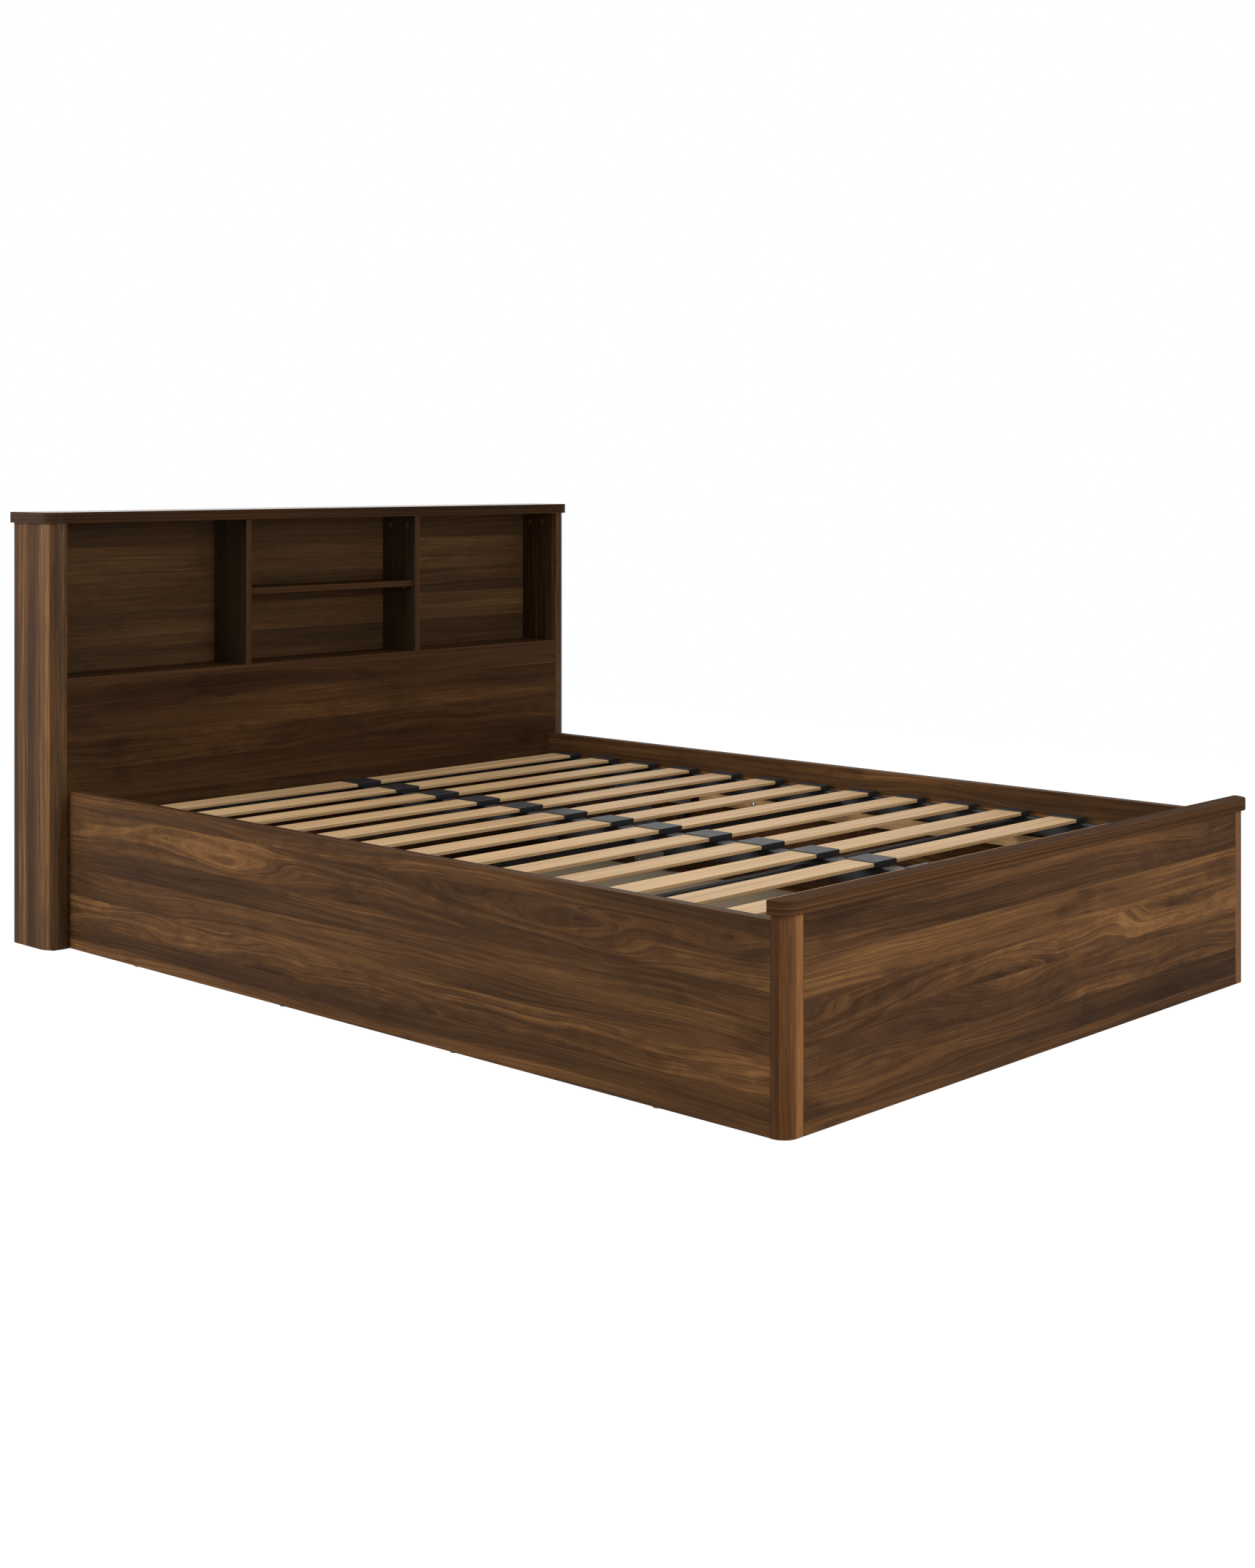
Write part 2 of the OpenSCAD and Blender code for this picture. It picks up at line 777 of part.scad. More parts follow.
module deck_centre_tube() {
  color(frame_black) along_y(y_deck_foot + tube_w, y_deck_head - tube_w)
    tube_outline([-centre_tube_w / 2, tube_z], [centre_tube_w / 2, tube_top]);
}

module deck_cross_bars() {
  color(frame_black) for (share = cross_bar_share, m = [0, 1]) mirror([m, 0, 0])
    along_x(-tube_in, -centre_tube_w / 2)
      tube_outline([y_deck_foot + share * deck_l - cross_bar / 2, tube_z],
                   [y_deck_foot + share * deck_l + cross_bar / 2, tube_z + cross_bar]);
}

// Plastic plugs in the open ends of the side tubes
module tube_end_plugs() {
  w = tube_wall;
  color(black_plastic) for (m = [0, 1]) mirror([m, 0, 0]) {
    for (end = [[y_deck_foot, -1], [y_deck_head, 1]]) {
      y_out = end[0] + end[1] * 2;
      along_y(min(end[0], y_out), max(end[0], y_out))
        round_rect([-tube_out, tube_z], [-tube_in, tube_top], 2 * w);
      y_plug = end[0] - end[1] * 15;
      along_y(min(end[0], y_plug), max(end[0], y_plug))
        round_rect([-tube_out + w, tube_z + w], [-tube_in - w, tube_top - w], w);
    }
  }
}

slat_y = [for (i = [0 : slat_rows - 1])
  y_deck_foot + slat_end_margin + slat_w / 2 + i * slat_pitch];

module slats_left() {
  color(pine) for (y = slat_y)
    along_x(-holder_out + holder_wall, -slat_mid_gap)
      round_rect([y - slat_w / 2, slat_top - slat_t], [y + slat_w / 2, slat_top], slat_r);
}

module slats_right() {
  mirrored() slats_left();
}

// Outline of a slat holder and of the pocket in it, in y and z
module holder_outline(y) {
  over = holder_wall + slat_play;
  round_rect([y - slat_w / 2 - over, tube_top], [y + slat_w / 2 + over, slat_top + over], slat_r);
}

module holder_pocket(y) {
  round_rect([y - slat_w / 2 - slat_play, slat_top - slat_t],
             [y + slat_w / 2 + slat_play, slat_top + slat_play], slat_r);
}

module slat_holders() {
  end = holder_out - holder_wall;
  color(black_plastic) for (y = slat_y) {
    for (m = [0, 1]) mirror([m, 0, 0]) difference() {
      along_x(-holder_out, -holder_out + holder_grip) holder_outline(y);
      along_x(-end, -holder_out + holder_grip + 1) holder_pocket(y);
    }
    difference() {
      along_x(-centre_holder_half, centre_holder_half) holder_outline(y);
      for (m = [0, 1]) mirror([m, 0, 0])
        along_x(-centre_holder_half - 1, -slat_mid_gap) holder_pocket(y);
    }
  }
}

// Steel arm under the left side tube, with the pivot bore and the upper strut stud
module lift_arm_left() {
  x0 = -rail_in + arm_out;
  arm_r = 20;
  shoulder = 6;
  boss_wall = 3;
  slot = [for (share = [0.32, 0.68]) pivot + share * (strut_high - pivot)];
  slot_r = 8;
  color(zinc) difference() {
    union() {
      along_x(x0, x0 + plate_t) {
        round_outline([pivot, strut_high], arm_r);
        translate([strut_high.x - arm_r + shoulder, z_pivot])
          square([strut_arm + 2 * (arm_r - shoulder), tube_z - z_pivot]);
      }
      rod_x(-rail_in + strut_mid + eye_w / 2 + open_pivot_gap, x0, strut_high,
            stud_d + 2 * boss_wall);
    }
    rod_x(x0, x0 + plate_t, pivot, pivot_d + 2 * bearing_gap);
    along_x(x0, x0 + plate_t) round_outline(slot, slot_r);
  }
}

module lift_arm_right() {
  mirrored() lift_arm_left();
}

// Bent rods at the foot that keep the mattress on the tilted deck
module mattress_stops() {
  y = y_deck_foot - stop_d / 2;
  bend = 20;
  start = 6;
  low = tube_z + start;
  high = slat_top + stop_rise - stop_d / 2;
  color(frame_black) for (s = [-1, 1]) translate([s * stop_x, y, 0]) {
    for (m = [0, 1]) mirror([m, 0, 0]) {
      translate([stop_w / 2, 0, low]) cylinder(d = stop_d, h = high - bend - low);
      translate([stop_w / 2 - bend, 0, high - bend]) rotate([90, 0, 0])
        rotate_extrude(angle = 90) translate([bend, 0]) circle(d = stop_d);
    }
    translate([-stop_w / 2 + bend, 0, high]) rotate([0, 90, 0])
      cylinder(d = stop_d, h = stop_w - 2 * bend);
  }
}

// Arched webbing loop on the foot tube
module pull_strap() {
  half = strap_span / 2;
  low = tube_z + 4;
  rise = slat_top + stop_rise - 4;
  bend_in = 8;
  color(webbing) along_y(y_deck_foot - strap_t, y_deck_foot) difference() {
    union() {
      translate([-half, low]) square([2 * half, rise - low - strap_w]);
      round_rect([-half, low], [half, rise], strap_w - 2);
    }
    round_rect([-half + strap_w, low - strap_w], [half - strap_w, rise - strap_w], bend_in);
  }
}

module strap_screws() {
  rise = 18;
  length = 6;
  color(zinc) for (s = [-1, 1])
    translate([s * (strap_span - strap_w) / 2, y_deck_foot - strap_t, tube_z + rise])
      rotate([90, 0, 0]) scale(0.8) screw(length);
}

// The left gas strut stands on its lower eye and leans towards the foot
module on_strut() {
  translate([-rail_in + strut_mid, strut_low.x, strut_low.y]) rotate([strut_tilt, 0, 0])
    children();
}

module strut_cylinder_left() {
  color(frame_black) on_strut() difference() {
    union() {
      rotate([0, 90, 0]) cylinder(d = eye_d, h = eye_w, center = true);
      translate([0, 0, neck_low]) cylinder(d = neck_d, h = body_start + 1 - neck_low);
      translate([0, 0, body_start]) cylinder(d = strut_d, h = body_end - body_start);
    }
    rotate([0, 90, 0]) cylinder(d = stud_d + 2 * bearing_gap, h = eye_w + 2, center = true);
    translate([0, 0, body_start + end_wall])
      cylinder(d = strut_d - 2 * strut_wall, h = body_end - guide_l - body_start - end_wall);
    translate([0, 0, body_end - guide_l - 1])
      cylinder(d = rod_d + 2 * bearing_gap, h = guide_l + 2);
  }
}

module strut_cylinder_right() {
  mirrored() strut_cylinder_left();
}

// Rod with its piston and its upper end fitting
module strut_rod_left() {
  start = body_start + end_wall + 1;
  color(zinc) on_strut() {
    translate([0, 0, start])
      cylinder(d = strut_d - 2 * strut_wall - 2 * piston_gap, h = piston_t);
    translate([0, 0, start]) cylinder(d = rod_d, h = neck_start - start + 1);
    translate([0, 0, neck_start]) cylinder(d = neck_d, h = rod_neck);
    translate([0, 0, strut_closed]) rotate([0, 90, 0])
      cylinder(d = rod_eye_d, h = eye_w, center = true);
  }
}

module strut_rod_right() {
  mirrored() strut_rod_left();
}

echo(pivot = pivot, strut_low = strut_low, strut_high = strut_high);
echo(strut_tilt = strut_tilt, closed = strut_closed, stroke = strut_stroke);

head_top_board();
head_post_left();
head_post_right();
head_side_left();
head_side_right();
head_divider_left();
head_divider_right();
head_mid_shelf();
shelf_pins();
head_compartment_floor();
head_front_panel();
head_back_panel();
head_bottom_board();
head_stiffeners();
cam_locks();
cam_covers();
side_rail_left();
side_rail_right();
foot_panel();
foot_post_left();
foot_post_right();
foot_cap();
side_ledger_left();
side_ledger_right();
foot_ledger();
floor_cleats();
centre_floor_beam();
floor_panels();
corner_brackets();
bracket_screws();
ledger_screws();
glide_feet();
rest_bumpers();
lift_plate_left();
lift_plate_right();
lift_plate_bolts();
pivot_pin_left();
pivot_pin_right();
strut_stud_left();
strut_stud_right();
deck_side_tube_left();
deck_side_tube_right();
deck_head_tube();
deck_foot_tube();
deck_centre_tube();
deck_cross_bars();
tube_end_plugs();
slats_left();
slats_right();
slat_holders();
lift_arm_left();
lift_arm_right();
mattress_stops();
pull_strap();
strap_screws();
strut_cylinder_left();
strut_cylinder_right();
strut_rod_left();
strut_rod_right();
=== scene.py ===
"""Finishes, small parts and stage for a storage bed frame with a bookcase headboard."""

import math

import bpy
from bpy.props import FloatProperty, FloatVectorProperty, PointerProperty
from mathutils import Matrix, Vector


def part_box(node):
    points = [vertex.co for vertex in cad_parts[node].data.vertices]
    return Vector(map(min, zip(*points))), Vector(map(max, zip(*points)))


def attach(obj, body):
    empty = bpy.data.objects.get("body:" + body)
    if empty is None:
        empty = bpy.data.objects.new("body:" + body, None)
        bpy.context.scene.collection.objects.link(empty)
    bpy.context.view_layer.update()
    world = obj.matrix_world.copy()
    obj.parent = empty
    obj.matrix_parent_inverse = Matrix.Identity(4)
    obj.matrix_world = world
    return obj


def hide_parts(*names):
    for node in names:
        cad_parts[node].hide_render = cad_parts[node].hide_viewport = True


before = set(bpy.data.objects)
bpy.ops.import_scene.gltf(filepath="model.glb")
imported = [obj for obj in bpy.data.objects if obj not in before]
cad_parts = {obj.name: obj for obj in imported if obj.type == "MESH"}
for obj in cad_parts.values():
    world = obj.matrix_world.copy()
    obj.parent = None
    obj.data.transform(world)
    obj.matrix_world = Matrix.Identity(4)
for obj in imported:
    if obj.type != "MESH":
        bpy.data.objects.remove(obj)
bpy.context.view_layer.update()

bl_info = {
    "name": "Storage bed frame",
    "version": (1, 0, 0),
    "blender": (4, 5, 0),
    "location": "3D View > Sidebar > Bed",
    "description": "Finishes, small parts and stage for a storage bed frame",
    "category": "Object",
}


def shade(red, green, blue):
    """A display colour from 0 to 255 as Blender's linear colour."""
    return tuple(
        c / 12.92 if c <= 0.04045 else ((c + 0.055) / 1.055) ** 2.4
        for c in (red / 255, green / 255, blue / 255)
    )


def colour(name, description, *value):
    """A colour property with its default as a display colour."""
    return FloatVectorProperty(
        name=name, description=description, subtype="COLOR", size=3, min=0, max=1,
        default=shade(*value)
    )


def length(name, description, default):
    """A length property in metres."""
    return FloatProperty(
        name=name, description=description, default=default, min=0, unit="LENGTH", precision=4
    )


def share(name, description, default):
    """A number property from 0 to 1."""
    return FloatProperty(name=name, description=description, default=default, min=0, max=1)


def number(name, description, default):
    """A plain number property."""
    return FloatProperty(name=name, description=description, default=default)


class WalnutSettings(bpy.types.PropertyGroup):
    """Colours and gloss of the walnut boards."""

    dark: colour("Dark streaks", "Darkest streaks of the grain", 52, 35, 22)
    brown: colour("Brown", "Body colour of the boards", 75, 51, 32)
    light: colour("Light streaks", "Light streaks of the grain", 99, 68, 41)
    gold: colour("Golden figure", "Brightest flames in the grain", 136, 96, 57)
    # Painted shade: boards inside the headboard are darker copies of the walnut, for the
    # compartments' shade
    inner: share("Inside tone", "Tone of the boards inside the headboard", 0.72)
    roughness: share("Roughness", "Roughness of the satin surface", 0.44)
    gloss: share("Gloss", "Strength of the satin reflection", 0.05)


class TimberSettings(bpy.types.PropertyGroup):
    """Colours of the hidden timber."""

    pine: colour("Pine", "Battens under the floor and the deck", 196, 158, 108)
    pine_ring: colour("Pine rings", "Late wood of the battens", 160, 112, 66)
    birch: colour("Birch", "Slats", 208, 172, 126)
    birch_ring: colour("Birch figure", "Darker figure of the slats", 178, 138, 92)
    board: colour("Floor board", "Storage floor panels", 184, 166, 138)


class MetalSettings(bpy.types.PropertyGroup):
    """Colours of steel, plastic and rubber parts."""

    powder: colour("Powder coat", "Deck frame", 34, 34, 36)
    zinc: colour("Zinc", "Plates, brackets and screws", 176, 178, 180)
    chrome: colour("Chrome", "Gas strut rods", 205, 207, 210)
    paint: colour("Strut paint", "Gas strut cylinders", 22, 22, 24)
    plastic: colour("Black plastic", "Slat holders, plugs and glides", 28, 28, 30)
    cover: colour("Brown plastic", "Cam covers", 96, 68, 50)
    rubber: colour("Rubber", "Bumpers", 30, 30, 31)


class StrapSettings(bpy.types.PropertyGroup):
    """Sizes and colours of the lifting strap."""

    weave: colour("Webbing", "Yarn of the strap", 40, 40, 43)
    thread: colour("Thread", "Stitches", 92, 92, 96)
    width: length("Width", "Width of the webbing", 0.025)
    thickness: length("Thickness", "Thickness of the webbing", 0.0022)
    stitch: length("Stitch", "Length of a stitch", 0.0028)


class WeldSettings(bpy.types.PropertyGroup):
    """Sizes of the weld beads on the deck frame."""

    radius: length("Radius", "Radius of a bead", 0.0022)
    ripple: length("Ripple", "Distance between ripples", 0.0024)


class StudioSettings(bpy.types.PropertyGroup):
    """Camera and light."""

    place: FloatVectorProperty(
        name="Camera place", description="Where the camera stands", subtype="XYZ_LENGTH",
        unit="LENGTH", size=3, default=(-3.6030, -3.3271, 1.0983)
    )
    turn: FloatProperty(
        name="Camera turn", description="Clockwise from the length of the bed", subtype="ANGLE",
        default=math.radians(45.718)
    )
    lens: FloatProperty(
        name="Lens", description="Focal length", default=50.41, min=10, max=300, unit="CAMERA"
    )
    shift_x: number("Shift across", "Lens shift across", 0.0456)
    shift_y: number("Shift up", "Lens shift up", -0.2016)
    key: number("Side light", "Power of the light on the left", 150)
    front: number("Foot light", "Power of the light at the foot", 43)
    top: number("Top light", "Power of the light above", 50)
    ambient: number("Ambient", "Light from all around", 0.34)


SETTINGS = {
    "bed_walnut": WalnutSettings,
    "bed_timber": TimberSettings,
    "bed_metal": MetalSettings,
    "bed_strap": StrapSettings,
    "bed_weld": WeldSettings,
    "bed_studio": StudioSettings,
}


class Recipe:
    """A procedural material that is built node by node."""

    def __init__(self, name):
        self.material = bpy.data.materials.new(name)
        self.material.use_nodes = True
        self.nodes = self.material.node_tree.nodes
        self.nodes.clear()
        output = self.nodes.new("ShaderNodeOutputMaterial")
        self.shader = self.nodes.new("ShaderNodeBsdfPrincipled")
        self.join(self.shader.outputs[0], output.inputs[0])

    def join(self, source, target):
        self.material.node_tree.links.new(source, target)

    def give(self, target, value):
        """Links an output to the input, or sets the input's own value."""
        if isinstance(value, bpy.types.NodeSocket):
            self.join(value, target)
        elif hasattr(value, "__len__") and len(value) < len(target.default_value):
            target.default_value = (*value, 1)
        else:
            target.default_value = value

    def node(self, kind, inputs, output=0, **settings):
        """Adds a node and gives one of its outputs."""
        made = self.nodes.new(kind)
        for key, value in settings.items():
            setattr(made, key, value)
        for key, value in inputs.items():
            self.give(made.inputs[key], value)
        return made.outputs[output]

    def sum(self, operation, *values):
        return self.node("ShaderNodeMath", dict(enumerate(values)), operation=operation)

    def times(self, value, factor):
        return self.sum("MULTIPLY", value, factor)

    def plus(self, value, factor, other):
        """The value times the factor, added to the other."""
        return self.sum("MULTIPLY_ADD", value, factor, other)

    def parts(self, kind):
        """The x, y and z of a texture coordinate."""
        split = self.nodes.new("ShaderNodeSeparateXYZ")
        self.join(self.node("ShaderNodeTexCoord", {}, output=kind), split.inputs[0])
        return split.outputs

    def point(self, along, across, depth):
        return self.node("ShaderNodeCombineXYZ", {0: along, 1: across, 2: depth})

    def noise(self, vector, detail, roughness=0.5):
        """Noise of size 1, spread round 0 to about half a unit each way."""
        raw = self.node(
            "ShaderNodeTexNoise",
            {"Vector": vector, "Scale": 1.0, "Detail": detail, "Roughness": roughness},
        )
        return self.sum("SUBTRACT", raw, 0.5)

    def grain(self, along, slow, across, close, seed, detail, roughness=0.5):
        """Noise with so many waves a metre along the grain and across it."""
        place = self.point(self.times(along, slow), self.times(across, close), seed)
        return self.noise(place, detail, roughness)

    def ramp(self, value, *stops, crisp=False):
        """Colours, or greys, along a value."""
        made = self.nodes.new("ShaderNodeValToRGB")
        ramp = made.color_ramp
        ramp.interpolation = "CONSTANT" if crisp else "LINEAR"
        while len(ramp.elements) < len(stops):
            ramp.elements.new(0.5)
        for element, (place, tone) in zip(ramp.elements, stops):
            element.position = place
            element.color = (*tone, 1) if hasattr(tone, "__len__") else (tone, tone, tone, 1)
        self.join(value, made.inputs[0])
        return made.outputs[0]

    def mix(self, factor, first, second):
        """A colour from the first to the second as the factor goes from 0 to 1."""
        made = self.nodes.new("ShaderNodeMix")
        made.data_type = "RGBA"
        self.give(made.inputs[0], factor)
        self.give(made.inputs[6], first)
        self.give(made.inputs[7], second)
        return made.outputs[2]

    def scaled(self, value, low, high):
        """A value from 0 to 1 spread from low to high."""
        return self.node("ShaderNodeMapRange", {0: value, 3: low, 4: high})

    def finish(self, colour, roughness, height, depth, **fixed):
        """Sets the surface, with relief of a depth in metres, and gives the material."""
        self.give(self.shader.inputs["Base Color"], colour)
        self.give(self.shader.inputs["Roughness"], roughness)
        bump = self.node("ShaderNodeBump", {"Strength": 1.0, "Distance": depth, "Height": height})
        self.join(bump, self.shader.inputs["Normal"])
        for key, value in fixed.items():
            self.shader.inputs[key.replace("_", " ")].default_value = value
        return self.material


def board_axes(recipe, grain):
    """Distance along the grain, and across it over the faces and edges of a board."""
    x, y, z = recipe.parts("Object")
    if grain == "x":
        return x, recipe.sum("ADD", y, z)
    if grain == "y":
        return y, recipe.sum("ADD", x, z)
    return z, recipe.sum("ADD", recipe.sum("ABSOLUTE", x), y)


def facing(recipe, axis):
    """How far a surface faces along an axis of the piece, from 0 to 1."""
    return recipe.sum("ABSOLUTE", recipe.parts("Normal")["xyz".index(axis)])


# Half the soft change from one strip of veneer to the next, in metres
SEAM = 0.0035
# Length of the log over which the strips of one board are taken, in metres
LOG_SPAN = 31.0
# Painted shade: tone of a headboard side's face towards the middle, in the compartments
INSIDE_FACE_PAINTED_SHADE = 0.2
# Warm tone of the satin's reflection
GLEAM = (1.0, 0.86, 0.66, 1.0)
# Thickness of two plies of a slat, and pitch of the strap's ribs and cords, in metres
PLY_PAIR = 0.0027
RIB = 0.0016
CORD = 0.0025

# Strips of the veneer from the top edge down: width in mm, tone from 0 to 1, figure from 0 to 1
RAIL_STRIPS = (
    (36, 0.40, 0.4), (82, 0.50, 0.9), (54, 0.44, 0.4), (62, 0.57, 0.4), (62, 0.60, 1.0),
    (39, 0.33, 0.15), (45, 0.56, 0.2)
)
FOOT_STRIPS = (
    (77, 0.45, 0.35), (65, 0.66, 0.12), (60, 0.52, 1.0), (86, 0.49, 0.7), (56, 0.35, 0.35),
    (36, 0.48, 0.2)
)
BACK_STRIPS = ((62, 0.42, 0.3), (84, 0.52, 0.35), (66, 0.47, 0.7), (72, 0.53, 0.3), (78, 0.47, 0.5))
# The same on uprights, from the rear edge away from the middle forward and round to the front edge
# nearest the middle
# On the foot posts the last strip, at the front, is a painted highlight
FOOT_POST_LANES_AND_HIGHLIGHT = ((20, 0.46, 0.1), (17, 0.48, 0.1), (21, 0.47, 0.1), (22, 0.76, 0.1))
HEAD_SIDE_STRIPS = ((18, 0.41, 0.2), (40, 0.55, 0.1), (34, 0.28, 0.3), (17, 0.48, 0.1))
# On the head posts the second strip is a painted highlight
HEAD_POST_LANES_AND_HIGHLIGHT = (
    (17, 0.55, 0.1), (17, 0.75, 0.1), (20, 0.43, 0.1), (16, 0.44, 0.1), (17, 0.52, 0.1)
)


def walnut(name, grain, seed, face=None, figure=1.0, tone=1.0, strips=None, top=0.0, polish=1.0,
           warm=0.0, edge=None, shade_inside_face=False, contrast=1.0, smooth=1.0):
    """Walnut board with its grain along an axis.

    A figure of 0 is straight grain, and warm turns the colour to red. Edges off the face axis are
    banded with their own tone, and the rounded arrises between face and edge are lightened, partly
    as wear and partly as a painted highlight. The strips start at top, the distance across the
    grain where their first one begins, and with the flag for it a side board keeps them to its face
    away from the middle, with painted shade over its face towards the middle. Contrast weakens or
    strengthens the streaks, and a smooth under 1 evens the surface of the face.
    """
    w = bpy.context.scene.bed_walnut
    r = Recipe(name)
    along, across = board_axes(r, grain)

    # Strips of the veneer, each with its own tone, figure and part of the log
    if strips:
        width = sum(strip[0] for strip in strips) / 1000
        lane = r.sum("FRACT", r.sum("DIVIDE", r.sum("SUBTRACT", top, across), width))
        places, borders, start = [], [], 0.0
        soft = SEAM / width
        for i, (wide, strip_tone, swirl) in enumerate(strips):
            end = start + wide / 1000 / width
            places += [(start + soft, (strip_tone, swirl, 0)), (end - soft, (strip_tone, swirl, 0))]
            borders.append((start, i / len(strips)))
            start = end
        kind = r.nodes.new("ShaderNodeSeparateColor")
        r.join(r.ramp(lane, *places), kind.inputs[0])
        base, swirl = kind.outputs[0], kind.outputs[1]
        order = r.ramp(lane, *borders, crisp=True)
        shifted = r.plus(order, LOG_SPAN, along)
        # Painted shade: a side board's face towards the middle is darkened to its own tone, strips
        # stay outside
        if shade_inside_face:
            place, way = r.parts("Object")[0], r.parts("Normal")[0]
            unshaded_face_mask = r.ramp(r.times(r.times(place, way), 1.3), (0.3, 0.0), (0.6, 1.0))
            base = r.scaled(unshaded_face_mask, INSIDE_FACE_PAINTED_SHADE, base)
    else:
        base, swirl, shifted = 0.5, figure, along

    # Slow waves, arches and ripples bend the grain
    wave = r.grain(shifted, 1.1, across, 4.0, seed, 1.0)
    arch = r.grain(shifted, 2.0, across, 11.0, seed + 3, 2.0, 0.35)
    ripple = r.grain(shifted, 6.0, across, 24, seed + 5, 2.0)
    bent = r.plus(wave, 0.04 * figure, across)
    bent = r.plus(r.times(arch, swirl), 0.15 * figure, bent)
    bent = r.plus(ripple, 0.004 * figure + 0.0006, bent)

    # Bands, streaks and fibres along the grain, then clouds, dark crotch patches and flames
    run = r.times(shifted, 1.0 if figure else 3.0)
    bands = r.grain(run, 0.45, bent, 15, seed + 7, 2.0, 0.45)
    streaks = r.grain(run, 0.8, bent, 75, seed + 11, 3.0, 0.6)
    fine = r.grain(run, 4.0, bent, 260, seed + 13, 4.0, 0.65)
    cloud = r.grain(shifted, 1.2, bent, 7, seed + 17, 2.0)
    cross = r.grain(shifted, 6.0, bent, 14, seed + 37, 4.0, 0.55)
    crotch = r.ramp(r.sum("ADD", cross, 0.5), (0.26, 1.0), (0.42, 0.0))
    flame = r.grain(shifted, 26, bent, 60, seed + 29, 2.0, 0.5)
    value = r.plus(bands, 0.6, base)
    value = r.plus(r.times(streaks, r.plus(swirl, 0.45, 0.4 if figure else 0.6)), contrast, value)
    value = r.plus(fine, (0.95 if figure else 0.6) * contrast, value)
    value = r.plus(cloud, 0.9 * figure, value)
    value = r.plus(crotch, -0.22 * figure, value)
    value = r.plus(r.times(flame, swirl), 0.4 * figure, value)
    tint = (tone * (1 + warm), tone, tone * (1 - warm))
    tones = [[c * k for c, k in zip(t, tint)] for t in (w.dark, w.brown, w.light, w.gold)]
    colour = r.ramp(value, (0.10, tones[0]), (0.40, tones[1]), (0.63, tones[2]), (0.92, tones[3]))

    pores = r.grain(shifted, 30, bent, 1700, seed + 19, 2.0, 0.6)
    pore = r.ramp(r.sum("ADD", pores, 0.5), (0.55, 0.0), (0.68, 1.0))
    colour = r.mix(r.times(pore, 0.4), colour, [c * 0.5 for c in tones[0]])

    if face:
        flat = facing(r, face)
        over = r.parts("Object")[2] if face == "z" else across
        plain = r.grain(along, 0.9, over, 210, seed + 23, 3.0, 0.6)
        trim = [[c * (edge or tone) for c in t] for t in (w.dark, w.brown, w.light)]
        band = r.ramp(r.plus(plain, 1.6, 0.5), (0.15, trim[0]), (0.6, trim[1]), (0.95, trim[2]))
        colour = r.mix(r.ramp(flat, (0.55, 1.0), (0.7, 0.0)), colour, band)
        # Rounded arrises between face and edge turn golden: partly rubbed wear, partly a painted
        # highlight
        edge_wear_and_painted_highlight = r.ramp(flat, (0.2, 0.0), (0.45, 1.0), (0.7, 1.0), (0.95, 0.0))
        colour = r.mix(r.times(edge_wear_and_painted_highlight, 0.3), colour, tones[3])
    satin = w.roughness / polish ** 0.25
    rough = r.scaled(r.plus(fine, 1.2, 0.5), satin - 0.06, satin + 0.1)
    if smooth < 1:
        rough = r.times(rough, r.ramp(flat, (0.9, 1.0), (0.97, smooth)))
    height = r.plus(fine, 0.35, r.times(pore, -0.6))
    return r.finish(colour, rough, height, 0.00016, Specular_IOR_Level=w.gloss * polish,
                    Specular_Tint=GLEAM)


def timber(name, grain, pale, ring, seed, plies=False):
    """Softwood batten with growth rings and small knots, or slat with plies in its edges."""
    r = Recipe(name)
    along, across = board_axes(r, grain)
    bent = r.plus(r.grain(along, 1.3, across, 7, seed, 1.5), 0.05, across)
    rings = r.grain(along, 0.7, bent, 110, seed + 3, 3.0, 0.55)
    fibre = r.grain(along, 12, bent, 700, seed + 5, 3.0, 0.6)
    patch = r.grain(along, 2, across, 9, seed + 7, 2.0)
    value = r.plus(rings, 1.3, 0.5)
    value = r.plus(fibre, 0.5, value)
    value = r.plus(patch, 0.5, value)
    colour = r.ramp(value, (0.15, ring), (0.55, pale), (0.95, [min(1, c * 1.18) for c in pale]))
    if plies:
        stripes = r.sum("SINE", r.times(r.parts("Object")[2], 2 * math.pi / PLY_PAIR))
        edge = r.ramp(facing(r, "z"), (0.3, 1.0), (0.7, 0.0))
        layer = r.ramp(r.plus(stripes, 0.5, 0.5), (0.35, 1.0), (0.6, 0.0))
        colour = r.mix(r.times(r.times(edge, layer), 0.7), colour, [c * 0.6 for c in ring])
    else:
        knots = r.node(
            "ShaderNodeTexVoronoi",
            {"Vector": r.point(r.times(along, 3.1), r.times(across, 12), seed)},
            feature="F1",
        )
        knot = r.ramp(knots, (0.06, 1.0), (0.12, 0.0))
        colour = r.mix(knot, colour, [c * 0.45 for c in ring])
    return r.finish(colour, r.scaled(r.sum("ADD", fibre, 0.5), 0.48, 0.62), fibre, 0.0002)


def speckled(name, base, size, contrast, roughness, depth, **fixed):
    """Painted, plated or moulded surface with fine tone and height."""
    r = Recipe(name)
    at = r.node("ShaderNodeTexCoord", {}, output="Object")
    fine = r.node("ShaderNodeMapping", {"Vector": at, "Scale": (1 / size,) * 3})
    broad = r.node("ShaderNodeMapping", {"Vector": at, "Scale": (18, 18, 18)})
    grit = r.noise(fine, 3.0, 0.6)
    cloud = r.noise(broad, 3.0, 0.55)
    value = r.plus(grit, 0.7, r.plus(cloud, 1.0, 0.5))
    darker = [c * (1 - contrast) for c in base]
    paler = [min(1, c * (1 + contrast)) for c in base]
    colour = r.ramp(value, (0.15, darker), (0.85, paler))
    rough = r.scaled(value, max(0.02, roughness - 0.08), min(1, roughness + 0.08))
    return r.finish(colour, rough, grit, depth, **fixed)


